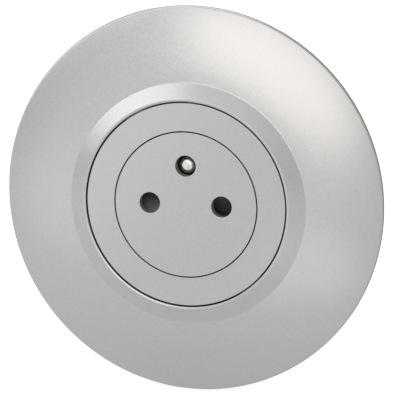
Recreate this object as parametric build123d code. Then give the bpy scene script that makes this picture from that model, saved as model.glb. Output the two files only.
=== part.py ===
from build123d import *
import os
from math import cos, hypot, radians, sin

# Round type E wall socket. Its well is closed by a flush disk that slides in when a plug is pushed home.
# Every piece is drawn lying on its back: X to the right, Y up the wall, Z out into the room,
# with the wall plane at Z = 0. At the end the pieces are turned upright, with the front towards -Y.

# Plug that the socket takes
PIN_SPACING = 19.0
PIN_DIAMETER = 4.8
PIN_LENGTH = 19.0
EARTH_OFFSET = 10.0
EARTH_REACH = 14.0
WELL_TRAVEL = 15.0

# Flush face: disk in the middle, collar round it
FACE_HEIGHT = 9.0
DISK_DIAMETER = 37.3
DISK_THICKNESS = 2.2
DISK_GAP = 0.3
COLLAR_DIAMETER = 52.4
FACE_EDGE = 0.15
HOLE_CLEARANCE = 0.6

# Cover plate
PLATE_DIAMETER = 100.0
PLATE_WALL = 1.8
PLATE_GAP = 0.4
RIM_HEIGHT = 2.0
RIM_EDGE = 0.3
RIM_BAND = 0.5
RIM_UNDERCUT = 0.7
FOOT_DIAMETER = 62.2
FOOT_HEIGHT = 7.2
LIP_PROUD = 0.3
LIP_LAND = 0.5
LIP_FALL = 0.15
LIP_DEPTH = 3.0
DOME_RISE = 0.55
RIB_COUNT = 8
RIB_THICKNESS = 1.0
RIB_CLEARANCE = 0.4

# Hooks that clip the plate to the frame
CORNER_ANGLE = 45.0
HOOK_COUNT = 4
HOOK_RADIUS = 29.6
HOOK_THICKNESS = 1.6
HOOK_WIDTH = 5.0
HOOK_CATCH = 0.7
HOOK_NOSE = 1.8
CLIP_CLEARANCE = 0.2

# Support frame
FRAME_BORDER = 2.0
FRAME_CORNER_DIAMETER = 86.0
FRAME_THICKNESS = 1.2
FRAME_LEDGE = 0.5
SCREW_CENTRES = 60.0
SLOT_COUNT = 4
SLOT_WIDTH = 4.2
SLOT_LENGTH = 7.0

# Collar behind the face
FACE_WALL = 1.8
SKIRT_WALL = 1.5
TUBE_WALL = 1.6
LEG_COUNT = 4
LEG_CLEARANCE = 1.0
LEG_THICKNESS = 1.6
LEG_WIDTH = 6.0
LEG_DEPTH = 9.4
LEG_CATCH = 1.3
LEG_NOSE = 2.6

# Shutter and the carrier that holds it behind the disk
SHUTTER_ROOM = 5.0
SHUTTER_PLAY = 0.2
SHUTTER_OVERLAP = 0.5
SHUTTER_CLEARANCE = 0.5
SHUTTER_ARM = 4.4
SHUTTER_EDGE = 0.6
HUB_RADIUS = 4.2
PIVOT_RADIUS = 1.9
PIVOT_CLEARANCE = 0.15
CARRIER_BACK = 1.6
CARRIER_CLEARANCE = 0.15
BOSS_WALL = 0.9
LUG_COUNT = 3
LUG_START_ANGLE = 90.0
LUG_WIDTH = 4.0
LUG_HEIGHT = 2.0
LUG_REACH = 1.35
LUG_CLEARANCE = 0.2
STOP_CLEARANCE = 0.05

# Screws that join the carrier to posts on the disk
POST_COUNT = 2
POST_EDGE = 0.6
POST_RADIUS = 1.9
POST_LENGTH = 2.6
POST_CLEARANCE = 0.15
POST_SCREW_RADIUS = 1.0
POST_SCREW_BITE = 1.8
POST_HEAD_RADIUS = 1.8
POST_HEAD_HEIGHT = 1.2
THREAD_CLEARANCE = 0.05

# Springs
RETURN_COIL_RADIUS = 2.3
RETURN_WIRE = 0.6
RETURN_TURNS = 5
RETURN_SPIGOT_LENGTH = 1.5
RETURN_WELL_DEPTH = 8.7
SPRING_CLEARANCE = 0.3
TORSION_WIRE = 0.5
TORSION_ARM = 7.0
TORSION_ROOT = 1.2

# Base behind the wall plane
COVER_THICKNESS = 2.0
COVER_CLEARANCE = 0.3
FLOOR_CLEARANCE = 0.3
BASE_WALL = 1.6
BASE_EDGE = 0.8
REAR_WALL = 2.0
PIN_END_CLEARANCE = 3.0
POCKET_CLEARANCE = 0.4

# Contacts and terminals
CONTACT_CLEARANCE = 0.05
CONTACT_WALL = 0.7
CONTACT_SLIT = 0.8
CONTACT_ROOT = 2.5
TAIL_THICKNESS = 0.8
TAIL_HEIGHT = 6.0
TERMINAL_SIZE = 7.0
TERMINAL_CLEARANCE = 0.7
TERMINAL_CAP = 0.9
TERMINAL_SHIFT = 1.0
TERMINAL_DROP = 12.0
EARTH_TERMINAL_RISE = 7.5
TERMINAL_EDGE = 0.4
WIRE_RADIUS = 1.75
CLAMP_SCREW_RADIUS = 1.5
CLAMP_HEAD_RADIUS = 2.6
CLAMP_HEAD_HEIGHT = 2.0
CLAMP_STANDOFF = 1.5
CLAMP_WINDOW_CLEARANCE = 0.4
EARTH_TIP_RADIUS = 2.5
EARTH_FLANGE_RADIUS = 3.4
EARTH_FLANGE = 0.8
EARTH_RIVET_RADIUS = 1.5
EARTH_RIVET_HEAD = 2.2
EARTH_RIVET_HEIGHT = 0.8
STRAP_THICKNESS = 1.0
STRAP_WIDTH = 5.0

# Radii that follow from the sizes above
pin_radius = PIN_DIAMETER / 2
hole_radius = (PIN_DIAMETER + HOLE_CLEARANCE) / 2
pin_x = PIN_SPACING / 2
disk_radius = DISK_DIAMETER / 2
tube_inner = disk_radius + DISK_GAP
tube_outer = tube_inner + TUBE_WALL
leg_inner = tube_outer + LEG_CLEARANCE
leg_outer = leg_inner + LEG_THICKNESS
base_inner = leg_outer + POCKET_CLEARANCE
base_outer = base_inner + BASE_WALL
frame_hole = base_inner + FRAME_LEDGE
frame_width = SCREW_CENTRES + SLOT_LENGTH + 2 * FRAME_BORDER
collar_radius = COLLAR_DIAMETER / 2
plate_hole = collar_radius + PLATE_GAP
plate_radius = PLATE_DIAMETER / 2
carrier_radius = disk_radius - CARRIER_CLEARANCE
post_circle = carrier_radius - POST_HEAD_RADIUS - POST_EDGE
blade_radius = hole_radius + SHUTTER_OVERLAP
shutter_reach = pin_x + blade_radius
carrier_inner = shutter_reach + SHUTTER_CLEARANCE
contact_bore = pin_radius + CONTACT_CLEARANCE
contact_outer = contact_bore + CONTACT_WALL
return_bore = RETURN_COIL_RADIUS + RETURN_WIRE / 2 + SPRING_CLEARANCE
return_spigot = RETURN_COIL_RADIUS - RETURN_WIRE / 2 - SPRING_CLEARANCE

# Levels along Z, from the face down to the back of the base
disk_rear = FACE_HEIGHT - DISK_THICKNESS
carrier_floor = disk_rear - SHUTTER_ROOM
carrier_rear = carrier_floor - CARRIER_BACK
well_floor = carrier_rear - POST_HEAD_HEIGHT - WELL_TRAVEL - FLOOR_CLEARANCE
cover_rear = well_floor - COVER_THICKNESS
earth_tip = FACE_HEIGHT - WELL_TRAVEL + EARTH_REACH
pocket_floor = FACE_HEIGHT - WELL_TRAVEL - PIN_LENGTH - PIN_END_CLEARANCE
base_rear = pocket_floor - REAR_WALL
lip_height = FACE_HEIGHT + LIP_PROUD
return_well_floor = cover_rear - RETURN_WELL_DEPTH
flange_rear = cover_rear - EARTH_FLANGE
strap_rear = flange_rear - STRAP_THICKNESS
terminal_top = cover_rear - TERMINAL_CLEARANCE
terminal_middle = (terminal_top + pocket_floor) / 2

# Places of the terminals
line_terminal_x = pin_x + TERMINAL_SHIFT
earth_terminal_y = EARTH_OFFSET + EARTH_TERMINAL_RISE

MIDDLE_BOTTOM = (Align.CENTER, Align.CENTER, Align.MIN)


def cylinder(radius, bottom, top, x=0.0, y=0.0):
    return Pos(x, y, bottom) * Cylinder(radius, top - bottom, align=MIDDLE_BOTTOM)


def ring(outer, inner, bottom, top):
    return cylinder(outer, bottom, top) - cylinder(inner, bottom, top)


def block(left, right, low, high, bottom, top):
    corner = (Align.MIN, Align.MIN, Align.MIN)
    return Pos(left, low, bottom) * Box(right - left, high - low, top - bottom, align=corner)


def radial_block(inner, outer, width, bottom, top, angle):
    return Rot(0, 0, angle) * block(inner, outer, -width / 2, width / 2, bottom, top)


def radial_prism(points, width, angle):
    # A side profile in (radius, height), as wide as the piece, turned to its place round the axis
    profile = Plane.XZ * make_face(Polyline(*points, close=True))
    return Rot(0, 0, angle) * extrude(profile, width / 2, both=True)


def around(count, start):
    return [start + 360 / count * turn for turn in range(count)]


def on_circle(radius, angle):
    return radius * cos(radians(angle)), radius * sin(radians(angle))


HOOK_ANGLES = around(HOOK_COUNT, CORNER_ANGLE)
LEG_ANGLES = around(LEG_COUNT, CORNER_ANGLE)
LUG_ANGLES = around(LUG_COUNT, LUG_START_ANGLE)
POST_PLACES = [on_circle(post_circle, angle) for angle in around(POST_COUNT, CORNER_ANGLE)]
LINE_HOLES = [(-pin_x, 0.0), (pin_x, 0.0)]
EARTH_HOLE = (0.0, EARTH_OFFSET)
NEUTRAL_TERMINAL = (-line_terminal_x, -TERMINAL_DROP)
LIVE_TERMINAL = (line_terminal_x, -TERMINAL_DROP)
EARTH_TERMINAL = (0.0, earth_terminal_y)
TERMINAL_PLACES = [NEUTRAL_TERMINAL, LIVE_TERMINAL, EARTH_TERMINAL]


def dome(drop):
    # Ends of the flange's skin, from its rim to the foot of the bevel, lowered by drop
    return (plate_radius - drop, RIM_HEIGHT + RIM_EDGE - drop), (FOOT_DIAMETER / 2, FOOT_HEIGHT - drop)


def plate_section():
    rim, foot = dome(0)
    under_rim, under_foot = dome(PLATE_WALL)
    outline = Polyline(foot, (plate_hole + LIP_LAND, lip_height), (plate_hole, lip_height - LIP_FALL),
                       (plate_hole, lip_height - LIP_DEPTH), under_foot, under_rim, (under_rim[0], 0),
                       (plate_radius - RIM_UNDERCUT, 0), (plate_radius, RIM_HEIGHT - RIM_BAND), rim)
    section = make_face([SagittaArc(rim, foot, -DOME_RISE), outline])
    rim_corner = section.vertices().sort_by_distance(rim)[0]
    return chamfer(rim_corner, RIM_EDGE)


def rib_space():
    # Space under the plate that the ribs fill, sunk half a wall into the plate so that they join it
    sunk = PLATE_WALL / 2
    rim, foot = dome(sunk)
    lip = (plate_hole + sunk, lip_height - LIP_DEPTH + sunk)
    outline = Polyline(foot, lip, (lip[0], 0), (rim[0], 0), rim, close=True)
    return revolve(Plane.XZ * make_face(outline), Axis.Z)


def make_cover_plate():
    plate = revolve(Plane.XZ * plate_section(), Axis.Z)
    space = rib_space()
    outer = HOOK_RADIUS + HOOK_THICKNESS
    tip = -CLIP_CLEARANCE - HOOK_NOSE
    hook = [(HOOK_RADIUS, FOOT_HEIGHT - PLATE_WALL / 2), (HOOK_RADIUS, tip), (outer - HOOK_CATCH, tip),
            (outer + HOOK_CATCH, -CLIP_CLEARANCE - HOOK_CATCH), (outer + HOOK_CATCH, -CLIP_CLEARANCE),
            (outer, -CLIP_CLEARANCE), (outer, FOOT_HEIGHT - PLATE_WALL / 2)]
    for angle in HOOK_ANGLES:
        plate += radial_prism(hook, HOOK_WIDTH, angle)
    rib_bottom = FRAME_THICKNESS + RIB_CLEARANCE
    for angle in around(RIB_COUNT, 180 / RIB_COUNT):
        plate += radial_block(plate_hole, plate_radius, RIB_THICKNESS, rib_bottom, lip_height, angle) & space
    return plate


def make_support_frame():
    outline = Rectangle(frame_width, frame_width) & Circle(FRAME_CORNER_DIAMETER / 2)
    outline -= Circle(frame_hole)
    for angle in around(SLOT_COUNT, 0):
        outline -= Rot(0, 0, angle) * Pos(SCREW_CENTRES / 2, 0) * SlotOverall(SLOT_LENGTH, SLOT_WIDTH)
    frame = extrude(outline, FRAME_THICKNESS)
    window_inner = HOOK_RADIUS - CLIP_CLEARANCE
    window_outer = HOOK_RADIUS + HOOK_THICKNESS + CLIP_CLEARANCE
    window_width = HOOK_WIDTH + 2 * CLIP_CLEARANCE
    for angle in HOOK_ANGLES:
        frame -= radial_block(window_inner, window_outer, window_width, 0, FRAME_THICKNESS, angle)
    return frame


def make_front_collar():
    face_rear = FACE_HEIGHT - FACE_WALL
    collar = ring(collar_radius, tube_inner, face_rear, FACE_HEIGHT)
    front_edges = collar.edges().group_by(Axis.Z)[-1]
    collar = chamfer(front_edges, FACE_EDGE)
    collar += ring(collar_radius, collar_radius - SKIRT_WALL, FRAME_THICKNESS, face_rear)
    collar += ring(tube_outer, tube_inner, well_floor, face_rear)
    slot_top = carrier_rear + LUG_HEIGHT + STOP_CLEARANCE
    slot_width = LUG_WIDTH + 2 * LUG_CLEARANCE
    for angle in LUG_ANGLES:
        collar -= radial_block(disk_radius, tube_outer + TUBE_WALL, slot_width, well_floor, slot_top, angle)
    catch = LEG_NOSE - LEG_DEPTH
    leg = [(leg_inner, face_rear), (leg_inner, -LEG_DEPTH), (leg_outer, -LEG_DEPTH),
           (leg_outer + LEG_CATCH, catch), (leg_outer, catch), (leg_outer, face_rear)]
    for angle in LEG_ANGLES:
        collar += radial_prism(leg, LEG_WIDTH, angle)
    return collar


def make_well_disk():
    disk = cylinder(disk_radius, disk_rear, FACE_HEIGHT)
    disk = chamfer(disk.edges().group_by(Axis.Z)[-1], FACE_EDGE)
    for x, y in LINE_HOLES + [EARTH_HOLE]:
        disk -= cylinder(hole_radius, disk_rear, FACE_HEIGHT, x, y)
    post_end = disk_rear - POST_LENGTH
    for x, y in POST_PLACES:
        disk += cylinder(POST_RADIUS, post_end, disk_rear, x, y)
        disk -= cylinder(POST_SCREW_RADIUS + THREAD_CLEARANCE, post_end, disk_rear, x, y)
    return disk


def make_shutter_carrier():
    carrier = ring(carrier_radius, carrier_inner, carrier_rear, disk_rear)
    carrier += cylinder(carrier_radius, carrier_rear, carrier_floor)
    carrier += cylinder(PIVOT_RADIUS, carrier_floor, disk_rear - STOP_CLEARANCE)
    carrier += cylinder(hole_radius + BOSS_WALL, carrier_floor, disk_rear, *EARTH_HOLE)
    carrier += cylinder(return_spigot, carrier_rear - RETURN_SPIGOT_LENGTH, carrier_rear)
    for angle in LUG_ANGLES:
        carrier += radial_block(carrier_inner, disk_radius + LUG_REACH, LUG_WIDTH, carrier_rear,
                                carrier_rear + LUG_HEIGHT, angle)
    for x, y in LINE_HOLES + [EARTH_HOLE]:
        carrier -= cylinder(hole_radius, carrier_rear, disk_rear, x, y)
    post_seat = disk_rear - POST_LENGTH - POST_CLEARANCE
    for x, y in POST_PLACES:
        carrier -= cylinder(POST_RADIUS + POST_CLEARANCE, post_seat, disk_rear, x, y)
        carrier -= cylinder(POST_SCREW_RADIUS + POST_CLEARANCE, carrier_rear, post_seat, x, y)
    return carrier - torsion_root_slot()


def make_carrier_screws():
    tip = disk_rear - POST_LENGTH + POST_SCREW_BITE
    screws = []
    for x, y in POST_PLACES:
        head = cylinder(POST_HEAD_RADIUS, carrier_rear - POST_HEAD_HEIGHT, carrier_rear, x, y)
        screws.append(head + cylinder(POST_SCREW_RADIUS, carrier_rear, tip, x, y))
    return Compound(screws)


# Height of the wire spring's room behind the shutter's hub, and the circle that its coils run on
torsion_bottom = carrier_floor + SHUTTER_PLAY
torsion_height = 2 * TORSION_WIRE
torsion_radius = SHUTTER_ARM / 2 + TORSION_WIRE / 2 + STOP_CLEARANCE
torsion_room = hypot(torsion_radius + TORSION_WIRE / 2, SHUTTER_ARM / 2) + SHUTTER_PLAY


def torsion_root_slot():
    half = TORSION_WIRE / 2 + STOP_CLEARANCE
    depth = carrier_inner + TORSION_ROOT + STOP_CLEARANCE
    top = torsion_bottom + TORSION_WIRE + STOP_CLEARANCE
    return block(torsion_radius - half, torsion_radius + half, -depth, -HUB_RADIUS, carrier_floor, top)


def make_shutter_spring():
    half = TORSION_WIRE / 2
    coil_top = torsion_bottom + torsion_height
    coil = ring(torsion_radius + half, torsion_radius - half, torsion_bottom, coil_top)
    fixed_leg = block(torsion_radius - half, torsion_radius + half, -carrier_inner - TORSION_ROOT, 0,
                      torsion_bottom, torsion_bottom + TORSION_WIRE)
    moving_leg = block(-TORSION_ARM, 0, -torsion_radius - half, -torsion_radius + half,
                       coil_top - TORSION_WIRE, coil_top)
    return coil + fixed_leg + moving_leg


def make_shutter():
    bottom = carrier_floor + SHUTTER_PLAY
    top = disk_rear - SHUTTER_PLAY
    arms = Rectangle(PIN_SPACING, SHUTTER_ARM)
    for x, y in LINE_HOLES:
        arms += Pos(x, y) * Circle(blade_radius)
    bore = PIVOT_RADIUS + PIVOT_CLEARANCE
    hub_bottom = bottom + torsion_height + SHUTTER_PLAY
    lower = Pos(0, 0, bottom) * extrude(arms - Circle(torsion_room), hub_bottom - bottom)
    upper = Pos(0, 0, hub_bottom) * extrude(arms + Circle(HUB_RADIUS) - Circle(bore), top - hub_bottom)
    shutter = lower + upper
    low = bottom + SHUTTER_EDGE
    ramp = [(-blade_radius, low), (blade_radius, top), (-blade_radius, top)]
    for turn in (0, 180):
        wedge = Plane.YZ * make_face(Polyline(*ramp, close=True))
        shutter -= Rot(0, 0, turn) * Pos(HUB_RADIUS, 0, 0) * extrude(wedge, shutter_reach - HUB_RADIUS)
    return shutter


def make_return_spring():
    half = RETURN_WIRE / 2
    start = return_well_floor + half
    height = carrier_rear - half - start
    pitch = height / RETURN_TURNS
    path = Pos(0, 0, start) * Helix(pitch, height, RETURN_COIL_RADIUS)
    section = Plane(path @ 0, z_dir=path % 0) * Rectangle(RETURN_WIRE, RETURN_WIRE)
    return sweep(section, path, is_frenet=True)


def make_contact_cover():
    cover = cylinder(base_inner - COVER_CLEARANCE, cover_rear, well_floor)
    for x, y in LINE_HOLES:
        cover -= cylinder(hole_radius, cover_rear, well_floor, x, y)
    cover -= cylinder(pin_radius + CONTACT_CLEARANCE, cover_rear, well_floor, *EARTH_HOLE)
    return cover - cylinder(return_bore, cover_rear, well_floor)


def make_base_housing():
    base = cylinder(base_outer, base_rear, 0)
    base = chamfer(base.edges().group_by(Axis.Z)[0], BASE_EDGE)
    base -= cylinder(base_inner, cover_rear, 0)
    base -= cylinder(return_bore, return_well_floor, cover_rear)
    for side in (-1, 1):
        inner = side * (pin_x - contact_outer - POCKET_CLEARANCE)
        outer = side * (line_terminal_x + TERMINAL_SIZE / 2 + POCKET_CLEARANCE)
        low = -TERMINAL_DROP - TERMINAL_SIZE / 2 - POCKET_CLEARANCE
        high = contact_outer + POCKET_CLEARANCE
        base -= block(min(inner, outer), max(inner, outer), low, high, pocket_floor, cover_rear)
    half = TERMINAL_SIZE / 2 + POCKET_CLEARANCE
    base -= block(-half, half, EARTH_OFFSET - EARTH_FLANGE_RADIUS - POCKET_CLEARANCE, earth_terminal_y + half,
                  pocket_floor, cover_rear)
    for x, y in TERMINAL_PLACES:
        base -= cylinder(WIRE_RADIUS, base_rear, pocket_floor, x, y)
        base -= clamp_window(x, y)
    window_bottom = -LEG_DEPTH - CLIP_CLEARANCE
    window_top = LEG_NOSE - LEG_DEPTH + CLIP_CLEARANCE
    for angle in LEG_ANGLES:
        base -= radial_block(leg_inner, base_outer + BASE_WALL, LEG_WIDTH + 2 * CLIP_CLEARANCE,
                             window_bottom, window_top, angle)
    return base


def clamp_line(x, y, start, end, radius):
    # A round bar along the terminal screw's axis, between two distances from the terminal's middle
    outward = 1 if y > 0 else -1
    axis = Plane((x, y + outward * start, terminal_middle), z_dir=(0, outward, 0))
    return axis * Cylinder(radius, end - start, align=MIDDLE_BOTTOM)


def clamp_window(x, y):
    return clamp_line(x, y, TERMINAL_SIZE / 2, base_outer, CLAMP_HEAD_RADIUS + CLAMP_WINDOW_CLEARANCE)


def make_terminal(place, top):
    x, y = place
    half = TERMINAL_SIZE / 2
    terminal = block(x - half, x + half, y - half, y + half, pocket_floor, top)
    terminal = chamfer(terminal.edges().filter_by(Axis.Z), TERMINAL_EDGE)
    terminal -= cylinder(WIRE_RADIUS, pocket_floor, top - TERMINAL_CAP, x, y)
    return terminal - clamp_line(x, y, 0, half, CLAMP_SCREW_RADIUS + THREAD_CLEARANCE)


def make_terminal_screws():
    screws = []
    seat = TERMINAL_SIZE / 2 + CLAMP_STANDOFF
    for x, y in TERMINAL_PLACES:
        screw = clamp_line(x, y, WIRE_RADIUS + THREAD_CLEARANCE, seat, CLAMP_SCREW_RADIUS)
        screw += clamp_line(x, y, seat, seat + CLAMP_HEAD_HEIGHT, CLAMP_HEAD_RADIUS)
        screws.append(screw)
    return Compound(screws)


def make_contact(side):
    x = side * pin_x
    top = cover_rear - COVER_CLEARANCE
    contact = cylinder(contact_outer, pocket_floor, top, x)
    terminal_face = -TERMINAL_DROP + TERMINAL_SIZE / 2
    tail_bottom = terminal_top - TERMINAL_EDGE - TAIL_HEIGHT
    contact += block(x - TAIL_THICKNESS / 2, x + TAIL_THICKNESS / 2, terminal_face, 0,
                     tail_bottom, tail_bottom + TAIL_HEIGHT)
    contact -= cylinder(contact_bore, pocket_floor, top, x)
    return contact - block(x - contact_outer, x + contact_outer, -CONTACT_SLIT / 2, CONTACT_SLIT / 2,
                           pocket_floor + CONTACT_ROOT, top)


def make_earth_pin():
    x, y = EARTH_HOLE
    pin = cylinder(pin_radius, earth_tip - EARTH_TIP_RADIUS, earth_tip, x, y)
    pin &= Pos(x, y, earth_tip - EARTH_TIP_RADIUS) * Sphere(EARTH_TIP_RADIUS)
    pin += cylinder(pin_radius, cover_rear, earth_tip - EARTH_TIP_RADIUS, x, y)
    pin += cylinder(EARTH_FLANGE_RADIUS, flange_rear, cover_rear, x, y)
    pin += cylinder(EARTH_RIVET_RADIUS, strap_rear, flange_rear, x, y)
    return pin + cylinder(EARTH_RIVET_HEAD, strap_rear - EARTH_RIVET_HEIGHT, strap_rear, x, y)


def make_earth_strap():
    half = STRAP_WIDTH / 2
    end = earth_terminal_y + TERMINAL_SIZE / 2
    strap = block(-half, half, EARTH_OFFSET - half, end, strap_rear, flange_rear)
    return strap - cylinder(EARTH_RIVET_RADIUS, strap_rear, flange_rear, *EARTH_HOLE)


PIECES = {
    "cover_plate": make_cover_plate(),
    "support_frame": make_support_frame(),
    "front_collar": make_front_collar(),
    "well_disk": make_well_disk(),
    "shutter_carrier": make_shutter_carrier(),
    "carrier_screws": make_carrier_screws(),
    "shutter": make_shutter(),
    "shutter_spring": make_shutter_spring(),
    "return_spring": make_return_spring(),
    "contact_cover": make_contact_cover(),
    "base_housing": make_base_housing(),
    "neutral_terminal": make_terminal(NEUTRAL_TERMINAL, terminal_top),
    "live_terminal": make_terminal(LIVE_TERMINAL, terminal_top),
    "earth_terminal": make_terminal(EARTH_TERMINAL, strap_rear),
    "terminal_screws": make_terminal_screws(),
    "neutral_contact": make_contact(-1),
    "live_contact": make_contact(1),
    "earth_pin": make_earth_pin(),
    "earth_strap": make_earth_strap(),
}

os.makedirs("parts", exist_ok=True)
for name, piece in PIECES.items():
    export_step(Rot(90, 0, 0) * piece, f"parts/{name}.step")
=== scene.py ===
# %% [markdown]
# A round wall socket, seen a little from the right and from above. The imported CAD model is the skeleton:
# its pieces, places and joints are fixed. Blender adds what a CAD solid lacks: soft edges, a coiled
# spring, slotted screws, and finishes that catch the light as the real ones do.

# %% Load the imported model
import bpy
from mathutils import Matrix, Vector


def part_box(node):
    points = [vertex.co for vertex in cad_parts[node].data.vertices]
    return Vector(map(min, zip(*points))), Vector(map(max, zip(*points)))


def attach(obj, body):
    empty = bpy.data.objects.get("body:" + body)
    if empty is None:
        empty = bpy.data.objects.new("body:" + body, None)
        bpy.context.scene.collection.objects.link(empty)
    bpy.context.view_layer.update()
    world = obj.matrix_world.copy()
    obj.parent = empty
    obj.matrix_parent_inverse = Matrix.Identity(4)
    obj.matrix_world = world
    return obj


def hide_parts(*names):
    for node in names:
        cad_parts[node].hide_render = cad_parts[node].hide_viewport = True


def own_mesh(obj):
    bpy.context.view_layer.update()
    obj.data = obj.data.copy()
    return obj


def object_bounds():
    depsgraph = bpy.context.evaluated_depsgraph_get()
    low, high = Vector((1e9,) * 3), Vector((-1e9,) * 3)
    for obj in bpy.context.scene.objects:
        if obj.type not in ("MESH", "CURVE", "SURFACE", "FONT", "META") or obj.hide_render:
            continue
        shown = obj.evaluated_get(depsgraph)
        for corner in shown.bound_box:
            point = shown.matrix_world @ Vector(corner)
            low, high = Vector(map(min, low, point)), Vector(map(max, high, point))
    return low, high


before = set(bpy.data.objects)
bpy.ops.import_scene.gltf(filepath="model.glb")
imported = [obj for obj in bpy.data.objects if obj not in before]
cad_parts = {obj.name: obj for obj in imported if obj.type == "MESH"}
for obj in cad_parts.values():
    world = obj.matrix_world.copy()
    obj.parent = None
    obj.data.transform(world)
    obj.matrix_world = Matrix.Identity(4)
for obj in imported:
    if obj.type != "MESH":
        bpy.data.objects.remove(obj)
cad_low, cad_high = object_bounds()

# %% [markdown]
# All sizes below are in millimetres, as on a drawing, and MM turns them into Blender's metres. The socket
# faces -Y. A height is measured out from the wall, so a height of 9 lies at y = -9 mm. Angles round the
# socket are in degrees, counted anticlockwise from the right, as seen from the front.

# %% Tools and units
import math

import bmesh
import bpy
from mathutils import Matrix, Vector

MM = 0.001
FACE_HEIGHT = 9.0
print("face lies at y =", -FACE_HEIGHT * MM, "m")

# %% [markdown]
# Most pieces of a socket are round: one outline, turned about an axis. The outline could be a curve with
# a Screw modifier. Here it is a flat face whose corners are rounded with the bevel operator, because then
# every radius stands in one list. Each corner is (radius, height, rounding), where the rounding is how
# far from the corner the curve starts.

# %% Rounded outlines
ROUND_STEPS = 6


def soften(bm, geom, offset, steps, affect):
    """Rounds corners or edges with the bevel operator."""
    bmesh.ops.bevel(bm, geom=geom, offset=offset * MM, offset_type="OFFSET", segments=steps,
                    profile=0.5, affect=affect, material=-1)


def outline_face(bm, corners, steps=ROUND_STEPS):
    """A flat face in the XY plane with its corners rounded."""
    before = set(bm.faces)
    verts = [bm.verts.new((radius * MM, -height * MM, 0)) for radius, height, _ in corners]
    bm.faces.new(verts)
    for vert, (_, _, rounding) in zip(verts, corners):
        if rounding:
            soften(bm, [vert], rounding, steps, "VERTICES")
    return next(face for face in bm.faces if face not in before)


print("a rounded corner has", ROUND_STEPS, "steps")

# %% [markdown]
# A full spin makes the turned piece. The face itself is deleted first, because only its edge sweeps the
# surface, and the last step is merged with the first, which closes the ring.

# %% Turned pieces
TURN_STEPS = 192


def spin_round(bm, geom, x, z, steps):
    """One full turn round the depth axis at (x, z)."""
    bmesh.ops.spin(bm, geom=geom, cent=(x * MM, 0, z * MM), axis=(0, 1, 0), angle=math.tau, steps=steps,
                   use_merge=True)


def turn(bm, corners, x=0.0, z=0.0, turn_steps=TURN_STEPS, round_steps=ROUND_STEPS):
    """A closed outline spun once round the depth axis, at (x, z)."""
    face = outline_face(bm, corners, round_steps)
    verts, edges = list(face.verts), list(face.edges)
    bmesh.ops.delete(bm, geom=[face], context="FACES_ONLY")
    bmesh.ops.translate(bm, verts=verts, vec=(x * MM, 0, z * MM))
    spin_round(bm, verts + edges, x, z, turn_steps)


print("a full turn has", TURN_STEPS, "steps")

# %% [markdown]
# A bmesh becomes an object in one place. Doubled vertices on the axis are merged, the normals are turned
# outwards, and edges sharper than a given angle stay crisp. A Weighted Normal modifier keeps the flat
# faces flat in the light, right up to their rounded edges. The piece then gets the body that it moves
# with and the CAD nodes that it stands for.

# %% From bmesh to piece
MERGE_DISTANCE = 0.0005
SHARP_ANGLE = 35.0


def piece(bm, name, body, slot, *nodes):
    """Makes the object, gives it to its body, and lets it stand for CAD nodes."""
    bmesh.ops.remove_doubles(bm, verts=bm.verts, dist=MERGE_DISTANCE * MM)
    bmesh.ops.recalc_face_normals(bm, faces=bm.faces)
    mesh = bpy.data.meshes.new(name)
    bm.to_mesh(mesh)
    bm.free()
    mesh.shade_smooth()
    mesh.set_sharp_from_angle(angle=math.radians(SHARP_ANGLE))
    made = bpy.data.objects.new(name, mesh)
    bpy.context.scene.collection.objects.link(made)
    weighted = made.modifiers.new("weighted_normals", "WEIGHTED_NORMAL")
    weighted.keep_sharp = True
    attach(made, body)
    if nodes:
        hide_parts(*nodes)
    print(name, len(mesh.polygons), "faces on", body)
    return made


print("edges over", SHARP_ANGLE, "degrees stay sharp")

# %% [markdown]
# Ribs, hooks and snap legs are flat outlines pulled out to a width and turned to their place round the
# axis. A Boolean could join them to the turned part, but it leaves long thin triangles, so they are made
# in the same bmesh and reach into it or end against it. Extrude keeps the face that it starts from, and
# that closes the near side.

# %% Pulled pieces
PULLED_EDGE = 0.12
PULLED_STEPS = 2


def points(geom):
    """The vertices among what an operator returns."""
    return [item for item in geom if isinstance(item, bmesh.types.BMVert)]


def added(bm, before):
    """The vertices that were not there before."""
    return [vert for vert in bm.verts if vert not in before]


def edges_of(verts):
    """The edges that meet at some vertices, each once."""
    return list(dict.fromkeys(edge for vert in verts for edge in vert.link_edges))


def lift(bm, faces, vector):
    """Extrudes faces along a vector and returns the vertices of the new end."""
    end = points(bmesh.ops.extrude_face_region(bm, geom=faces)["geom"])
    bmesh.ops.translate(bm, verts=end, vec=vector)
    return end


def swing(bm, verts, angle):
    """Turns vertices round the depth axis."""
    bmesh.ops.rotate(bm, verts=verts, cent=(0, 0, 0), matrix=Matrix.Rotation(-math.radians(angle), 3, "Y"))


def pull(bm, corners, width, angle):
    """An outline of (radius, height) corners, pulled to a width and turned to an angle."""
    before = set(bm.verts)
    verts = [bm.verts.new((radius * MM, -height * MM, -width / 2 * MM)) for radius, height in corners]
    lift(bm, [bm.faces.new(verts)], (0, 0, width * MM))
    soften(bm, edges_of(added(bm, before)), PULLED_EDGE, PULLED_STEPS, "EDGES")
    swing(bm, added(bm, before), angle)


def around(count, start):
    """So many angles, spread evenly round the circle."""
    return [start + 360 / count * step for step in range(count)]


print("pulled pieces have edges rounded by", PULLED_EDGE, "mm")

# %% [markdown]
# The cover plate is a thin moulding with a domed flange. A steep bevel leads up to a narrow lip round the
# opening, and the lip slopes down into the gap. The dome could follow a curve with many points. Here it
# is one corner with a very long rounding, so that the flange runs in a single sweep from the foot of the
# bevel to the rim. The lip's top edge has a small radius of its own, because it draws the bright hairline
# round the opening. The rim is cut back towards the wall, which makes the plate look thin. Ribs and hooks
# are hidden behind it.

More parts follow.
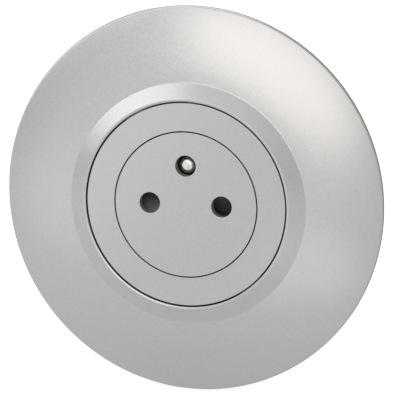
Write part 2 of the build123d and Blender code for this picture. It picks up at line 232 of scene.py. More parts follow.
# %% Cover plate
PLATE_OUTLINE = [
    (26.6, 9.15, 0.06), (27.1, 9.3, 0.12),  # lip
    (31.1, 7.2, 0.12), (40.83, 5.815, 9.2), (50.0, 2.3, 0.42),  # foot of the bevel, dome and rim
    (50.0, 1.5, 0.1), (49.3, 0.0, 0.1),  # cut back towards the wall
    (48.2, 0.0, 0.15), (48.2, 0.5, 0), (31.1, 5.4, 0), (26.6, 6.3, 0.1),  # hollow side
]
PLATE_TURN_STEPS = 256
PLATE_ROUND_STEPS = 10
RIB_OUTLINE = [(27.5, 1.6), (27.5, 7.2), (31.1, 6.3), (48.37, 1.6)]
RIB_WIDTH = 1.0
RIB_ANGLES = around(count=8, start=22.5)
HOOK_OUTLINE = [
    (29.6, 6.3), (29.6, -2.0), (30.5, -2.0), (31.9, -0.9), (31.9, -0.2), (31.2, -0.2), (31.2, 6.3),
]
HOOK_WIDTH = 5.0
HOOK_ANGLES = around(count=4, start=45.0)

bm = bmesh.new()
turn(bm, PLATE_OUTLINE, turn_steps=PLATE_TURN_STEPS, round_steps=PLATE_ROUND_STEPS)
for angle in RIB_ANGLES:
    pull(bm, RIB_OUTLINE, RIB_WIDTH, angle)
for angle in HOOK_ANGLES:
    pull(bm, HOOK_OUTLINE, HOOK_WIDTH, angle)
cover_plate = piece(bm, "plate_moulding", "mechanism", "plate_paint", "cover_plate")

# %% [markdown]
# The collar is the flat ring round the disk. Behind it hang a skirt, the guide tube of the well and four
# snap legs. Three slots guide the lugs of the sliding well, so behind the slots' front end the tube is
# only three arcs. The slots could be cut out of a whole tube, but it is cleaner to spin each arc through
# less than a third of a turn. An arc starts a little way inside the ring, so that the two don't share a
# face.

# %% Collar
TUBE_INSIDE = 18.95
TUBE_OUTSIDE = 20.55
TUBE_REAR = -16.3
GUIDE_FRONT = 2.25
GUIDE_HALF_ANGLE = 6.4
GUIDE_ANGLES = around(count=3, start=90.0)
ARC_OVERLAP = 0.05
ARC_STEPS = 56
COLLAR_OUTLINE = [
    (TUBE_INSIDE, FACE_HEIGHT, 0.12), (26.2, FACE_HEIGHT, 0.14),  # flat ring
    (26.2, 1.2, 0.1), (24.7, 1.2, 0.1), (24.7, 7.2, 0.3), (TUBE_OUTSIDE, 7.2, 0.3),  # skirt
    (TUBE_OUTSIDE, GUIDE_FRONT, 0), (TUBE_INSIDE, GUIDE_FRONT, 0),  # front of the tube
]
ARC_OUTLINE = [
    (TUBE_OUTSIDE, GUIDE_FRONT + ARC_OVERLAP, 0), (TUBE_INSIDE, GUIDE_FRONT + ARC_OVERLAP, 0),
    (TUBE_INSIDE, TUBE_REAR, 0.1), (TUBE_OUTSIDE, TUBE_REAR, 0.1),
]
SNAP_OUTLINE = [(21.55, 7.2), (21.55, -9.4), (23.15, -9.4), (24.45, -6.8), (23.15, -6.8), (23.15, 7.2)]
SNAP_WIDTH = 6.0
SNAP_ANGLES = around(count=4, start=45.0)

bm = bmesh.new()
turn(bm, COLLAR_OUTLINE)
arc_angle = 360 / len(GUIDE_ANGLES) - 2 * GUIDE_HALF_ANGLE
for angle in GUIDE_ANGLES:
    face = outline_face(bm, ARC_OUTLINE)
    swing(bm, list(face.verts), angle + GUIDE_HALF_ANGLE)
    bmesh.ops.spin(bm, geom=[face], cent=(0, 0, 0), axis=(0, -1, 0), angle=math.radians(arc_angle),
                   steps=ARC_STEPS)
for angle in SNAP_ANGLES:
    pull(bm, SNAP_OUTLINE, SNAP_WIDTH, angle)
front_collar = piece(bm, "collar_moulding", "mechanism", "face_paint", "front_collar")

# %% [markdown]
# The disk has three holes, so it can't be spun in one go, and a Boolean would spoil the small radius at
# each hole. Each edge is spun by itself instead: a vertex turned through a quarter circle gives the
# rounding, an extrusion gives the wall behind it, and a full spin closes the ring. The flat sides are
# then filled between the rings.

# %% Walls with a rounded edge
DISK_REAR = 6.8


def edge_ring(bm, x, z, radius, edge, outward, steps):
    """A wall from the face to the disk's rear. It faces outwards with 1, and into a hole with -1."""
    before = set(bm.verts)
    edge_start = (x + radius - outward * edge) * MM
    start = bm.verts.new((edge_start, -FACE_HEIGHT * MM, z * MM))
    curve = bmesh.ops.spin(bm, geom=[start], cent=(edge_start, -(FACE_HEIGHT - edge) * MM, z * MM),
                           axis=(0, 0, outward), angle=math.pi / 2, steps=ROUND_STEPS)
    wall = bmesh.ops.extrude_vert_indiv(bm, verts=points(curve["geom_last"]))
    bmesh.ops.translate(bm, verts=wall["verts"], vec=(0, (FACE_HEIGHT - edge - DISK_REAR) * MM, 0))
    verts = added(bm, before)
    spin_round(bm, verts + edges_of(verts), x, z, steps)


def lies_at(item, height):
    """Whether an edge or a face lies flat at one height."""
    return all(abs(vert.co.y + height * MM) < MERGE_DISTANCE * MM for vert in item.verts)


def fill_level(bm, height):
    """Fills the flat side between the open rings that lie at one height."""
    rings = [edge for edge in bm.edges if edge.is_boundary and lies_at(edge, height)]
    bmesh.ops.triangle_fill(bm, edges=rings, use_beauty=True, use_dissolve=False)


print("the disk is", round(FACE_HEIGHT - DISK_REAR, 2), "mm thick")

# %% [markdown]
# The disk is the part of the face that a plug pushes in. Two holes let the plug's pins through, and the
# one above them takes the earth pin. Two hollow posts behind it hold the screws of the carrier. They
# reach a little way into the disk, so that no face lies on another.

# %% Disk with three holes
DISK_RADIUS = 18.65
DISK_EDGE = 0.12
HOLE_RADIUS = 2.7
HOLE_EDGE = 0.15
HOLE_STEPS = 72
PIN_SPACING = 19.0
EARTH_RISE = 10.0
HOLES = [(-PIN_SPACING / 2, 0.0), (PIN_SPACING / 2, 0.0), (0.0, EARTH_RISE)]
POST_CIRCLE = 16.1
POST_OVERLAP = 0.1
POST_TOP = DISK_REAR + POST_OVERLAP
POST_OUTLINE = [(1.05, POST_TOP, 0), (1.9, POST_TOP, 0), (1.9, 4.2, 0.15), (1.05, 4.2, 0.1)]
SMALL_STEPS = 48

bm = bmesh.new()
edge_ring(bm, 0.0, 0.0, DISK_RADIUS, DISK_EDGE, 1, TURN_STEPS)
for x, z in HOLES:
    edge_ring(bm, x, z, HOLE_RADIUS, HOLE_EDGE, -1, HOLE_STEPS)
fill_level(bm, FACE_HEIGHT)
fill_level(bm, DISK_REAR)
post_place = POST_CIRCLE / math.sqrt(2)
for side in (-1, 1):
    turn(bm, POST_OUTLINE, side * post_place, side * post_place, SMALL_STEPS)
well_disk = piece(bm, "disk_moulding", "well", "face_paint", "well_disk")

# %% [markdown]
# The earth pin is turned from brass and nickel-plated. Its tip is what glints in the upper hole: a flat
# end whose corner has a large rounding, which leaves only a small flat in the middle. A cylinder with a
# ball on it would look too pointed. The pin is spun as one outline, down to the flange and the riveted
# tail.

# %% Earth pin
PIN_RADIUS = 2.4
PIN_TIP = 8.0
PIN_OUTLINE = [
    (0.0, PIN_TIP, 0), (PIN_RADIUS, PIN_TIP, 1.9),  # tip
    (PIN_RADIUS, -18.3, 0.1), (3.4, -18.3, 0.1), (3.4, -19.1, 0.1),  # flange
    (1.5, -19.1, 0), (1.5, -20.1, 0), (2.2, -20.1, 0), (2.2, -20.9, 0.3), (0.0, -20.9, 0),  # riveted tail
]

bm = bmesh.new()
turn(bm, PIN_OUTLINE, 0.0, EARTH_RISE, HOLE_STEPS)
earth_pin = piece(bm, "earth_pin_turned", "mechanism", "nickel", "earth_pin")

# %% [markdown]
# The return spring pushes the well out again. A Screw modifier could wind it, but a spin that also moves
# along its axis at each step draws the same helix and can change its pitch on the way. A real compression
# spring has a closed turn at each end, so it is spun in three parts, each starting from the last ring of
# the one before. When the well slides in, the spring is squashed towards its rear end.

# %% Return spring
COIL_RADIUS = 2.3
WIRE_RADIUS = 0.3
SPRING_REAR = -27.0
SPRING_FRONT = 0.2
ACTIVE_TURNS = 6
CLOSED_TURNS = 1
COIL_STEPS = 40
WIRE_SIDES = 12

spring_length = SPRING_FRONT - SPRING_REAR
closed_rise = 2 * WIRE_RADIUS * CLOSED_TURNS
active_rise = spring_length - 2 * WIRE_RADIUS - 2 * closed_rise
bm = bmesh.new()
place = Matrix.Translation((COIL_RADIUS * MM, -(SPRING_REAR + WIRE_RADIUS) * MM, 0))
bmesh.ops.create_circle(bm, radius=WIRE_RADIUS * MM, segments=WIRE_SIDES, matrix=place)
ring = list(bm.verts) + list(bm.edges)
for turns, rise in ((CLOSED_TURNS, closed_rise), (ACTIVE_TURNS, active_rise), (CLOSED_TURNS, closed_rise)):
    steps = turns * COIL_STEPS
    spun = bmesh.ops.spin(bm, geom=ring, cent=(0, 0, 0), axis=(0, 1, 0), dvec=(0, -rise * MM / steps, 0),
                          angle=math.tau * turns, steps=steps)
    ring = spun["geom_last"]
bmesh.ops.holes_fill(bm, edges=[edge for edge in bm.edges if edge.is_boundary], sides=WIRE_SIDES)
return_spring = piece(bm, "return_coil", "mechanism", "spring_steel", "return_spring")
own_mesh(return_spring)

# %% [markdown]
# A small wire spring turns the shutter shut: two close turns of wire round the pivot, each ending in a
# straight leg. One leg is held in the carrier, and the other lies against the shutter. The turns twist
# against each other when the shutter opens. One bent mesh can't do that, so the spring is made in two
# halves, and each half rides on the body that its leg touches. The CAD solid's box tells how thick the
# wire is and where the legs end.

# %% Shutter spring
TURN_GAP = 0.02
WIRE_OVERLAP = 0.1
FIXED_LEG_ANGLE = 0.0
MOVING_LEG_ANGLE = -90.0

spring_low, spring_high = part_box("shutter_spring")
wire = (spring_high.y - spring_low.y) / 2
turn_radius = spring_high.x - wire / 2


def spring_half(name, body, depth, leg_length, angle):
    """One turn of wire with a straight leg, turned to an angle."""
    bm = bmesh.new()
    place = Matrix.Translation((turn_radius, depth, 0))
    radius = wire / 2 - TURN_GAP * MM
    section = bmesh.ops.create_circle(bm, radius=radius, segments=WIRE_SIDES, matrix=place)["verts"]
    spin_round(bm, section + edges_of(section), 0.0, 0.0, COIL_STEPS)
    start = Matrix.Translation((0, 0, WIRE_OVERLAP * MM)) @ place
    leg = bmesh.ops.create_circle(bm, cap_ends=True, radius=radius, segments=WIRE_SIDES, matrix=start)
    lift(bm, list(leg["verts"][0].link_faces), (0, 0, -WIRE_OVERLAP * MM - leg_length))
    swing(bm, bm.verts, angle)
    return piece(bm, name, body, "spring_steel", "shutter_spring")


fixed_half = spring_half("shutter_spring_fixed", "well", spring_high.y - wire / 2, -spring_low.z,
                         FIXED_LEG_ANGLE)
moving_half = spring_half("shutter_spring_moving", "shutter", spring_low.y + wire / 2, -spring_low.x,
                          MOVING_LEG_ANGLE)

# %% [markdown]
# Three screws clamp the wires, and each has a slotted head. A slot could be cut with a Boolean. Here the
# screw is spun only up to the floor of its slot. Two planes then cut the flat top into three strips, and
# the outer two are lifted, so the strip between them is left as the slot. Extrude keeps the strip that it
# starts from, which would be a wall inside the head, so it is deleted.

# %% Slotted screw
SLOT_FLOOR = 6.1
SLOT_WIDTH = 0.8
SLOT_DEPTH = 0.9
HEAD_RADIUS = 2.6
HEAD_EDGE = 0.2
HEAD_EDGE_STEPS = 2
SCREW_OUTLINE = [
    (0.0, 1.8, 0), (1.2, 1.8, 0), (1.5, 2.1, 0), (1.5, 5.0, 0),  # shank
    (HEAD_RADIUS, 5.0, 0.15), (HEAD_RADIUS, SLOT_FLOOR, 0), (0.0, SLOT_FLOOR, 0),  # head
]


def flat_faces(bm, height):
    """The faces that lie flat at one height."""
    return [face for face in bm.faces if lies_at(face, height)]


def slotted_screw(bm):
    """A turned screw that points along the depth axis, with a slot across its head."""
    turn(bm, SCREW_OUTLINE, turn_steps=SMALL_STEPS)
    bmesh.ops.remove_doubles(bm, verts=bm.verts, dist=MERGE_DISTANCE * MM)
    bmesh.ops.dissolve_faces(bm, faces=flat_faces(bm, SLOT_FLOOR))
    for side in (-1, 1):
        top = flat_faces(bm, SLOT_FLOOR)
        shape = dict.fromkeys(item for face in top for item in (face, *face.edges, *face.verts))
        bmesh.ops.bisect_plane(bm, geom=list(shape), plane_co=(side * SLOT_WIDTH / 2 * MM, 0, 0),
                               plane_no=(1, 0, 0))
    for side in (-1, 1):
        strip = [face for face in flat_faces(bm, SLOT_FLOOR)
                 if face.calc_center_median().x * side > SLOT_WIDTH / 2 * MM]
        lifted = lift(bm, strip, (0, -SLOT_DEPTH * MM, 0))
        bmesh.ops.delete(bm, geom=strip, context="FACES_ONLY")
        rim = [edge for edge in edges_of(lifted) if all(vert in lifted for vert in edge.verts)]
        soften(bm, rim, HEAD_EDGE, HEAD_EDGE_STEPS, "EDGES")


print("screw slots are", SLOT_WIDTH, "mm wide")

# %% [markdown]
# The three screws are one set in the record, so they are one piece. Each is made at the origin, along the
# depth axis, laid over so that its head points out of the housing, and moved to its block. The heads
# stand in the side windows, where a screwdriver can reach them: two below and one above.

# %% Terminal screws
SCREW_PLACES = [(-10.5, -12.0), (10.5, -12.0), (0.0, 17.5)]
SCREW_HEIGHT = -23.5

bm = bmesh.new()
for x, z in SCREW_PLACES:
    before = set(bm.verts)
    slotted_screw(bm)
    screw = added(bm, before)
    laid_over = Matrix.Rotation(-math.copysign(math.pi / 2, z), 3, "X")
    bmesh.ops.rotate(bm, verts=screw, cent=(0, 0, 0), matrix=laid_over)
    bmesh.ops.translate(bm, verts=screw, vec=(x * MM, -SCREW_HEIGHT * MM, z * MM))
terminal_screws = piece(bm, "clamp_screws", "mechanism", "screw_steel", "terminal_screws")

# %% [markdown]
# The finishes are node materials. Writing every Math node by hand hides the idea, so a small class wraps
# a socket: sums and products on it add the Math nodes, and one method makes any other node from its type,
# its settings and the values or links of its sockets.

# %% Shader arithmetic
class Shade:
    """A socket of a material. Arithmetic on it adds Math nodes."""

    def __init__(self, tree, socket=None):
        self.tree, self.socket = tree, socket

    def node(self, kind, settings=(), values=(), output=0):
        """Any node: its settings first, then the values or links of its sockets."""
        made = self.tree.nodes.new("ShaderNode" + kind)
        for name, value in dict(settings).items():
            setattr(made, name, value)
        for name, value in dict(values).items():
            self.feed(self.find(made.inputs, name), value)
        return Shade(self.tree, self.find(made.outputs, output))

    @staticmethod
    def find(sockets, name):
        """A socket by its number, its identifier or its name."""
        if isinstance(name, int):
            return sockets[name]
        return next(item for item in sockets if name in (item.identifier, item.name))

    def feed(self, target, value):
        """Links a socket to a target, or sets a plain value on it."""
        if isinstance(value, Shade):
            self.tree.links.new(value.socket, target)
        else:
            target.default_value = value

    def math(self, operation, first, second):
        return self.node("Math", {"operation": operation}, {0: first, 1: second})

    def __add__(self, other):
        return self.math("ADD", self, other)

    __radd__ = __add__

    def __mul__(self, other):
        return self.math("MULTIPLY", self, other)

    __rmul__ = __mul__

    def __sub__(self, other):
        return self.math("SUBTRACT", self, other)

    def __rsub__(self, other):
        return self.math("SUBTRACT", other, self)

    def blend(self, first, second):
        """A colour between two others, by this value."""
        ends = {"A_Color": first, "B_Color": second}
        colours = {name: end if isinstance(end, Shade) else (*end, 1) for name, end in ends.items()}
        return self.node("Mix", {"data_type": "RGBA"}, {"Factor_Float": self, **colours}, "Result_Color")

    def between(self, low, high):
        """0 below low, 1 above high, and a smooth step from one to the other."""
        limits = {"Value": self, "From Min": low, "From Max": high}
        return self.node("MapRange", {"interpolation_type": "SMOOTHSTEP"}, limits)


print("sockets can be added, subtracted and multiplied")

# %% [markdown]
# A few patterns come up in every finish: a soft noise, cells that each have a random colour, and a pair
# of colours a little darker and lighter than a tone. All of them are laid out in Object coordinates, so a
# pattern keeps its size in millimetres and stays on the piece when it moves. What is the same all over a
# surface is set on the shader's own sockets.

# %% Patterns for the finishes
MIDDLE = 0.5


def finish(name, **constants):
    """A material with a Principled shader. The constants are set on its own sockets."""
    made = bpy.data.materials.new(name)
    made.use_nodes = True
    shader = made.node_tree.nodes["Principled BSDF"]
    for socket, value in constants.items():
        shader.inputs[socket.replace("_", " ").title()].default_value = value
    return made, Shade(made.node_tree), shader


def noise(place, scale, detail, distortion=0.0):
    """A soft noise from 0 to 1. The scale counts its waves in a metre."""
    values = {"Vector": place, "Scale": scale, "Detail": detail, "Distortion": distortion}
    return place.node("TexNoise", values=values, output="Fac")


def cells(place, size):
    """A random colour for each cell of a Voronoi texture."""
    return place.node("TexVoronoi", values={"Vector": place, "Scale": 1 / (size * MM)}, output="Color")


def channel(colour, name):
    """One channel of a colour, as a value."""
    return colour.node("SeparateColor", values={"Color": colour}, output=name)


def darker_and_lighter(tone, spread):
    """Two colours, one on each side of a tone."""
    return [part * (1 - spread) for part in tone], [part * (1 + spread) for part in tone]


print("patterns run from 0 to 1 about", MIDDLE)

# %% [markdown]
# The plate and the face are grey mouldings, sprayed from the front with an aluminium-flake paint. Each
# flake lies at its own small tilt, so the paint glitters very finely, and it reflects like a blurred
# metal and not like a chalky grey. A plain metallic grey would miss the glitter. A Voronoi texture with
# cells of about a quarter millimetre gives every flake one random colour: one channel sets how light it
# is, and the three together tilt its normal. The paint is kept to what faces the front, so upright walls,
# the rim, the holes and the back take a darker bare tone. That tone is partly the moulding's own grey and
# partly painted shade: it darkens the hole walls, the gaps and the rim's edge. The normal tells which way a
# surface faces.

# %% Silver paint
# Between these facings the paint fades into the darker bare tone, which is partly painted shade.
SPRAY_AND_SHADE_LOW = 0.25
SPRAY_AND_SHADE_HIGH = 0.70
PAINT_METAL = 0.85
PAINT_SPREAD = 0.06
DARK_BLUE = 0.985
BRIGHT_BLUE = 0.99
FLAKE_SHARE = 0.8
FLAKE_ROUGHNESS = 0.05
CLOUD_SCALE = 45.0
CLOUD_DETAIL = 3.0
CLOUD_SHARE = 0.2
CLOUD_ROUGHNESS = 0.04
# The spread varies the darker bare tone, which is partly painted shade on walls and in holes.
BARE_AND_SHADE_SPREAD = 0.15
BARE_ROUGHNESS = 0.5


def tilt_flakes(surface, flake, tilt):
    """The surface's normal, tilted another way on each flake."""
    centred = surface.node("VectorMath", {"operation": "SUBTRACT"}, {0: flake, 1: [MIDDLE] * 3})
    tilted = surface.node("VectorMath", {"operation": "MULTIPLY_ADD"},
                          {0: centred, 1: [tilt] * 3, 2: surface})
    return surface.node("VectorMath", {"operation": "NORMALIZE"}, {0: tilted})


def silver_paint(name, tone, moulding_and_shade_tone, roughness, flake_size, tilt):
    """Flake paint facing the front, and a darker tone on the rest: partly bare moulding, partly painted
    shade.
    """
    made, shade, shader = finish(name)
    place = shade.node("TexCoord", output="Object")
    surface = shade.node("NewGeometry", output="Normal")
    facing = 0.0 - shade.node("SeparateXYZ", values={"Vector": surface}, output="Y")
    # Painted shade: faces turned away from the front fade to the darker bare tone.
    front_paint_vs_wall_shade = facing.between(SPRAY_AND_SHADE_LOW, SPRAY_AND_SHADE_HIGH)
    flake = cells(place, flake_size)
    light = channel(flake, "Red")
    cloud = noise(place, CLOUD_SCALE, CLOUD_DETAIL)
    dark, bright = tone * (1 - PAINT_SPREAD), tone * (1 + PAINT_SPREAD)
    mottle = FLAKE_SHARE * light + CLOUD_SHARE * cloud
    paint = mottle.blend((dark, dark, dark * DARK_BLUE), (bright, bright, bright * BRIGHT_BLUE))
    # The bare tone is partly the moulding's grey and partly painted shade in holes, gaps and round the rim.
    bare_tone_and_wall_shade = cloud.blend(*darker_and_lighter([moulding_and_shade_tone] * 3, BARE_AND_SHADE_SPREAD))
    shade.feed(shader.inputs["Base Color"], front_paint_vs_wall_shade.blend(bare_tone_and_wall_shade, paint))
    shade.feed(shader.inputs["Metallic"], PAINT_METAL * front_paint_vs_wall_shade)
    painted = roughness + FLAKE_ROUGHNESS * (light - MIDDLE) + CLOUD_ROUGHNESS * (cloud - MIDDLE)
    shade.feed(shader.inputs["Roughness"], BARE_ROUGHNESS + front_paint_vs_wall_shade * (painted - BARE_ROUGHNESS))
    shade.feed(shader.inputs["Normal"], tilt_flakes(surface, flake, tilt))
    return made


# The plate's dark bare tone also paints the shade along its rim edge and in the gap.
plate_paint = silver_paint("plate_silver_paint", tone=0.365, moulding_and_shade_tone=0.12, roughness=0.31,
                           flake_size=0.24, tilt=0.03)
face_paint = silver_paint("face_silver_paint", tone=0.365, moulding_and_shade_tone=0.19, roughness=0.31,
                          flake_size=0.22, tilt=0.04)
print("paint flakes", plate_paint.name, face_paint.name)

# %% [markdown]
# The hidden pieces are moulded plastic. A mould is spark-eroded, which leaves a fine matt grain, so one
# noise drives the bump, the roughness and half of the colour. The other half drifts in slow streaks, as
# plastic does where it flowed into the mould. These pieces keep their CAD mesh, whose edges are sharp. A
# Bevel node bends the normals near an edge, so that the edge catches the light as a small radius does,
# and no mesh is changed.

# %% Moulded plastic
EDGE_RADIUS = 0.18
EDGE_SAMPLES = 6
PLASTIC_SPREAD = 0.12
GRAIN_DETAIL = 2.0
GRAIN_SHARE = 0.5
GRAIN_ROUGHNESS = 0.12
GRAIN_BUMP = 0.35
FLOW_SCALE = 90.0
FLOW_DETAIL = 4.0
FLOW_DISTORTION = 0.8


def edged_bump(height, strength, depth):
    """A bump over normals that make sharp edges look rounded."""
    edge = height.node("Bevel", {"samples": EDGE_SAMPLES}, {"Radius": EDGE_RADIUS * MM}, "Normal")
    values = {"Strength": strength, "Distance": depth * MM, "Height": height, "Normal": edge}
    return height.node("Bump", values=values)


def moulded_plastic(name, tone, roughness, grain_size, depth):
    """Plastic with a matt grain and faint flow streaks."""
    made, shade, shader = finish(name)
    place = shade.node("TexCoord", output="Object")
    grain = noise(place, 1 / (grain_size * MM), GRAIN_DETAIL)
    flow = noise(place, FLOW_SCALE, FLOW_DETAIL, FLOW_DISTORTION)
    mottle = GRAIN_SHARE * grain + (1 - GRAIN_SHARE) * flow
    shade.feed(shader.inputs["Base Color"], mottle.blend(*darker_and_lighter(tone, PLASTIC_SPREAD)))
    shade.feed(shader.inputs["Roughness"], roughness + GRAIN_ROUGHNESS * (grain - MIDDLE))
    shade.feed(shader.inputs["Normal"], edged_bump(grain, GRAIN_BUMP, depth))
    return made


base_plastic = moulded_plastic("base_moulded", tone=(0.30, 0.30, 0.30), roughness=0.48,
                               grain_size=0.45, depth=0.05)
inner_plastic = moulded_plastic("inner_moulded", tone=(0.06, 0.06, 0.065), roughness=0.55,
                                grain_size=0.35, depth=0.03)
shutter_plastic = moulded_plastic("shutter_moulded", tone=(0.08, 0.08, 0.08), roughness=0.42,
                                  grain_size=0.30, depth=0.015)
print("plastics", base_plastic.name, inner_plastic.name, shutter_plastic.name)

# %% [markdown]
# The metals differ in how they were worked. Plated sheet shows faint crystals, drawn wire and stamped
# brass show lines along one direction, and plating over a turned pin is smooth. One helper does them all:
# a Voronoi texture gives the crystals, and a Mapping node stretches a noise along one axis for the lines.
# Sharp edges get the same Bevel node as the plastics.

# %% Worked metal
CRYSTAL_SHARE = 0.45
CRYSTAL_ROUGHNESS = 0.08
LINE_DETAIL = 3.0
LINE_ROUGHNESS = 0.16
LINE_BUMP = 0.25


def worked_metal(name, dark, light, roughness, crystal_size, line_size, stretch, depth):
    """Metal with crystals and with lines along the axis whose stretch is small."""
    made, shade, shader = finish(name, metallic=1.0)
    place = shade.node("TexCoord", output="Object")
    crystal = channel(cells(place, crystal_size), "Green")
    along = shade.node("Mapping", values={"Vector": place, "Scale": stretch})
    lines = noise(along, 1 / (line_size * MM), LINE_DETAIL)
    mottle = CRYSTAL_SHARE * crystal + (1 - CRYSTAL_SHARE) * lines
    shade.feed(shader.inputs["Base Color"], mottle.blend(dark, light))
    worn = roughness + LINE_ROUGHNESS * (lines - MIDDLE) + CRYSTAL_ROUGHNESS * (crystal - MIDDLE)
    shade.feed(shader.inputs["Roughness"], worn)
    shade.feed(shader.inputs["Normal"], edged_bump(lines, LINE_BUMP, depth))
    return made


zinc_steel = worked_metal("zinc_sheet", dark=(0.50, 0.52, 0.55), light=(0.68, 0.70, 0.73), roughness=0.38,
                          crystal_size=1.6, line_size=0.25, stretch=(1, 1, 0.06), depth=0.01)
screw_steel = worked_metal("plated_screw", dark=(0.48, 0.49, 0.51), light=(0.62, 0.63, 0.65),
                           roughness=0.30, crystal_size=0.8, line_size=0.2, stretch=(1, 1, 1), depth=0.006)
spring_steel = worked_metal("drawn_wire", dark=(0.36, 0.37, 0.39), light=(0.52, 0.53, 0.55), roughness=0.28,
                            crystal_size=0.9, line_size=0.12, stretch=(1, 0.2, 1), depth=0.006)
nickel = worked_metal("nickel_plating", dark=(0.42, 0.415, 0.40), light=(0.56, 0.55, 0.535), roughness=0.28,
                      crystal_size=0.5, line_size=0.15, stretch=(1, 0.15, 1), depth=0.002)
brass = worked_metal("stamped_brass", dark=(0.62, 0.44, 0.20), light=(0.78, 0.60, 0.31), roughness=0.30,
                     crystal_size=1.4, line_size=0.2, stretch=(1, 0.08, 1), depth=0.006)
print("metals", [item.name for item in (zinc_steel, screw_steel, spring_steel, nickel, brass)])

# %% [markdown]
# Each finish goes to its pieces. A new piece has no material yet, so one is added to its mesh. A CAD node
# keeps its mesh and only gets a better material in its slots.

# %% Give out the finishes
PIECE_FINISHES = [
    (cover_plate, plate_paint), (front_collar, face_paint), (well_disk, face_paint), (earth_pin, nickel),
    (return_spring, spring_steel), (fixed_half, spring_steel), (moving_half, spring_steel),
    (terminal_screws, screw_steel),
]
NODE_FINISHES = {
    "support_frame": zinc_steel, "base_housing": base_plastic, "contact_cover": base_plastic,
    "shutter_carrier": inner_plastic, "shutter": shutter_plastic, "carrier_screws": screw_steel,
    "neutral_contact": brass, "live_contact": brass, "neutral_terminal": brass,
    "live_terminal": brass, "earth_terminal": brass, "earth_strap": brass,
}

for made, material in PIECE_FINISHES:
    made.data.materials.append(material)
for node, material in NODE_FINISHES.items():
    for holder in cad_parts[node].material_slots:
        holder.material = material
print("finished", len(PIECE_FINISHES), "new pieces and", len(NODE_FINISHES), "CAD nodes")

# %% [markdown]
# The camera stands a little to the right and above, far away with a long lens, which keeps the round
# plate nearly free of perspective. It aims beside the face's centre. That puts the socket where it
# belongs in the picture without shifting the lens, which would skew it in the other views.

# %% Camera
VIEW_AZIMUTH = math.radians(16.7)
VIEW_ELEVATION = math.radians(11.9)
VIEW_DISTANCE = 848.0
FOCAL_PIXELS = 3345.0
IMAGE_PIXELS = 400
AIM_RIGHT = 3.7
AIM_UP = 1.25


def facing_along(right, up, back):
    """The rotation of a camera or lamp from its own three axes."""
    return Matrix((right, up, back)).transposed().to_4x4()


back = Vector((math.sin(VIEW_AZIMUTH) * math.cos(VIEW_ELEVATION),
               -math.cos(VIEW_AZIMUTH) * math.cos(VIEW_ELEVATION), math.sin(VIEW_ELEVATION)))
right = Vector((math.cos(VIEW_AZIMUTH), math.sin(VIEW_AZIMUTH), 0))
up = back.cross(right)
aim = Vector((0, -FACE_HEIGHT * MM, 0)) + (right * AIM_RIGHT + up * AIM_UP) * MM
camera = bpy.data.objects.new("camera", bpy.data.cameras.new("camera"))
camera.data.lens = camera.data.sensor_width * FOCAL_PIXELS / IMAGE_PIXELS
camera.matrix_world = Matrix.Translation(aim + back * VIEW_DISTANCE * MM) @ facing_along(right, up, back)
bpy.context.scene.collection.objects.link(camera)
bpy.context.scene.camera = camera
print("lens", round(camera.data.lens, 1), "mm")

# %% [markdown]
# The light is a white room with oval soft boxes. A large one near the camera lights up the flange at the
# upper right. Another stands high on the left and draws the bright streak on the bevel. A box above the
# rim keeps the plate's top edge light. Two weak ones, close on the left and low in front, act as white
# cards and lift the shade on the bevel. Each box is set by its radiance, and its power follows from its
# area, because then it can be moved or resized and still be as bright in a reflection. Directions are
# right, up and towards the camera, as it sees them. The spread is the angle from a box's middle to its
# end, seen from the socket.

# %% Soft boxes
def soft_box(name, direction, distance, spread, ratio, roll, radiance, colour=(1.0, 1.0, 1.0)):
    """An oval lamp that faces the socket and isn't seen by the camera."""
    lamp = bpy.data.lights.new(name, "AREA")
    lamp.shape = "ELLIPSE"
    radius = distance * math.tan(math.radians(spread)) * MM
    lamp.size, lamp.size_y = 2 * radius, 2 * radius * ratio
    lamp.color = colour
    area = math.pi * radius ** 2 * ratio
    lamp.energy = radiance * math.pi * area
    towards = (right * direction[0] + up * direction[1] + back * direction[2]).normalized()
    side = up.cross(towards).normalized()
    stand = bpy.data.objects.new(name, lamp)
    stand.matrix_world = (Matrix.Translation(towards * distance * MM)
                          @ facing_along(side, towards.cross(side), towards)
                          @ Matrix.Rotation(math.radians(roll), 4, "Z"))
    stand.visible_camera = False
    bpy.context.scene.collection.objects.link(stand)
    print(name, round(lamp.energy, 2), "W,", round(lamp.size, 2), "m wide")


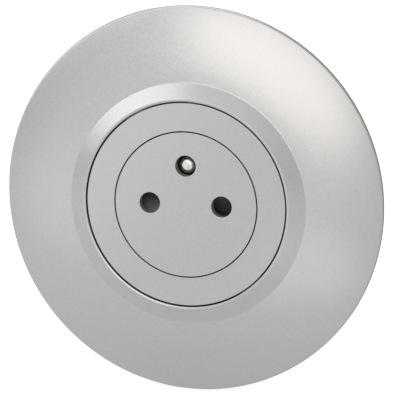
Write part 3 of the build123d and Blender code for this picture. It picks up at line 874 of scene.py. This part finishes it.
soft_box("front_box", direction=(-0.215, 0.15, 0.965), distance=615.0, spread=25.7, ratio=0.52, roll=-44.0,
         radiance=2.14, colour=(1.0, 0.95, 0.92))
soft_box("left_box", direction=(-0.84, 0.46, 0.29), distance=640.0, spread=33.0, ratio=0.28, roll=27.0,
         radiance=2.14)
soft_box("left_card", direction=(-0.76, 0.03, 0.65), distance=122.0, spread=21.3, ratio=2.11, roll=-41.0,
         radiance=0.34)
soft_box("lower_card", direction=(0.17, -0.62, 0.76), distance=82.0, spread=20.0, ratio=0.6, roll=0.0,
         radiance=0.42)
soft_box("top_box", direction=(0.0, 1.0, 0.06), distance=106.0, spread=22.0, ratio=0.8, roll=0.0,
         radiance=2.0)

# %% [markdown]
# The picture has a plain white ground. More light would bleach the socket too, so the world and the floor
# only look white to the camera and in reflections, which Light Path tells apart from the light that they
# give. The floor takes the rest of its brightness from the lamps, and there the shadow of the socket
# shows.

# %% White ground
WORLD_LIGHT = 0.7
FLOOR_GLOW = 0.78
FLOOR_TONE = 0.5
FLOOR_SIZE = 4.0


def seen(shade):
    """1 for rays from the camera and in reflections or glass, 0 for rays that only carry light."""
    path = shade.node("LightPath").socket.node
    camera_ray, glossy, through = (Shade(shade.tree, path.outputs[name]) for name in
                                   ("Is Camera Ray", "Is Glossy Ray", "Is Transmission Ray"))
    return shade.math("MAXIMUM", camera_ray, shade.math("MAXIMUM", glossy, through))


world = bpy.data.worlds.new("white_room")
world.use_nodes = True
bpy.context.scene.world = world
sky = Shade(world.node_tree)
lighting = sky.node("Background", values={"Color": (1, 1, 1, 1), "Strength": WORLD_LIGHT})
backdrop = sky.node("Background", values={"Color": (1, 1, 1, 1), "Strength": 1.0})
room = sky.node("MixShader", values={"Fac": seen(sky), 1: lighting, 2: backdrop})
sky.feed(world.node_tree.nodes["World Output"].inputs["Surface"], room)

floor_paint, ground, floor_shader = finish("white_floor", base_color=[FLOOR_TONE] * 3 + [1], roughness=1.0,
                                           emission_strength=1.0)
ground.feed(floor_shader.inputs["Emission Color"], seen(ground).blend((0, 0, 0), [FLOOR_GLOW] * 3))
bm = bmesh.new()
bmesh.ops.create_grid(bm, x_segments=1, y_segments=1, size=FLOOR_SIZE / 2,
                      matrix=Matrix.Translation((0, 0, cad_low.z)))
floor_mesh = bpy.data.meshes.new("floor")
bm.to_mesh(floor_mesh)
bm.free()
floor_mesh.materials.append(floor_paint)
floor = bpy.data.objects.new("floor", floor_mesh)
bpy.context.scene.collection.objects.link(floor)
bpy.context.scene.view_settings.view_transform = "Standard"
print("floor at", round(cad_low.z / MM, 1), "mm")
